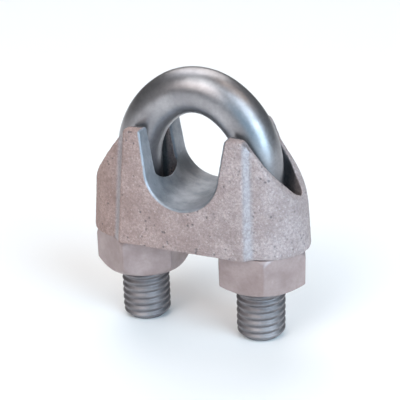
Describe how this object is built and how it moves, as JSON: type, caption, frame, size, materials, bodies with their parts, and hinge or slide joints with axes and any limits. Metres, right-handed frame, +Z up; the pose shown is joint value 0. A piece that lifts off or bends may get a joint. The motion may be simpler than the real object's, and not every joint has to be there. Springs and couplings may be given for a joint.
{
  "type": "wire rope clip",
  "caption": "Malleable wire rope clip: a U-bolt whose threaded legs pass through a grooved saddle and are drawn down by hex nuts to clamp a rope.",
  "frame": {"origin": "midway between the two leg ends, on the plane they stand on, which is the bottom centre of the bounding box", "axes": "+X from the left leg to the right leg, Y along the clamped rope with -Y towards the viewer of the front, +Z up the legs to the crown of the bow"},
  "size_m": [0.0466, 0.0212, 0.055],
  "materials": {
    "u_bolt_zinc": "bright zinc plate on bent steel rod",
    "saddle_casting": "galvanized malleable casting, speckled and pitted",
    "nut_zinc": "satin zinc plate on forged steel"
  },
  "bodies": {
    "u_bolt": {"u_bolt": "u_bolt_zinc"},
    "saddle": {"saddle": "saddle_casting"},
    "nut_left": {"nut_left": "nut_zinc"},
    "nut_right": {"nut_right": "nut_zinc"}
  },
  "joints": [
    {"name": "saddle_slide", "type": "slide", "parent": "u_bolt", "child": "saddle", "axis": [0, 0, 1], "range_m": [-0.012, 0.0045]},
    {"name": "nut_left_turn", "type": "hinge", "parent": "saddle", "child": "nut_left", "pos_m": [-0.013, 0, 0.01635], "axis": [0, 0, 1], "range_deg": [-2880, 1080]},
    {"name": "nut_right_turn", "type": "hinge", "parent": "saddle", "child": "nut_right", "pos_m": [0.013, 0, 0.01635], "axis": [0, 0, 1], "range_deg": [-2880, 1080]}
  ],
  "couplings": [
    {"joint": "nut_left_turn", "follows": "saddle_slide", "rad_per_m": 4188.8},
    {"joint": "nut_right_turn", "follows": "saddle_slide", "rad_per_m": 4188.8}
  ]
}
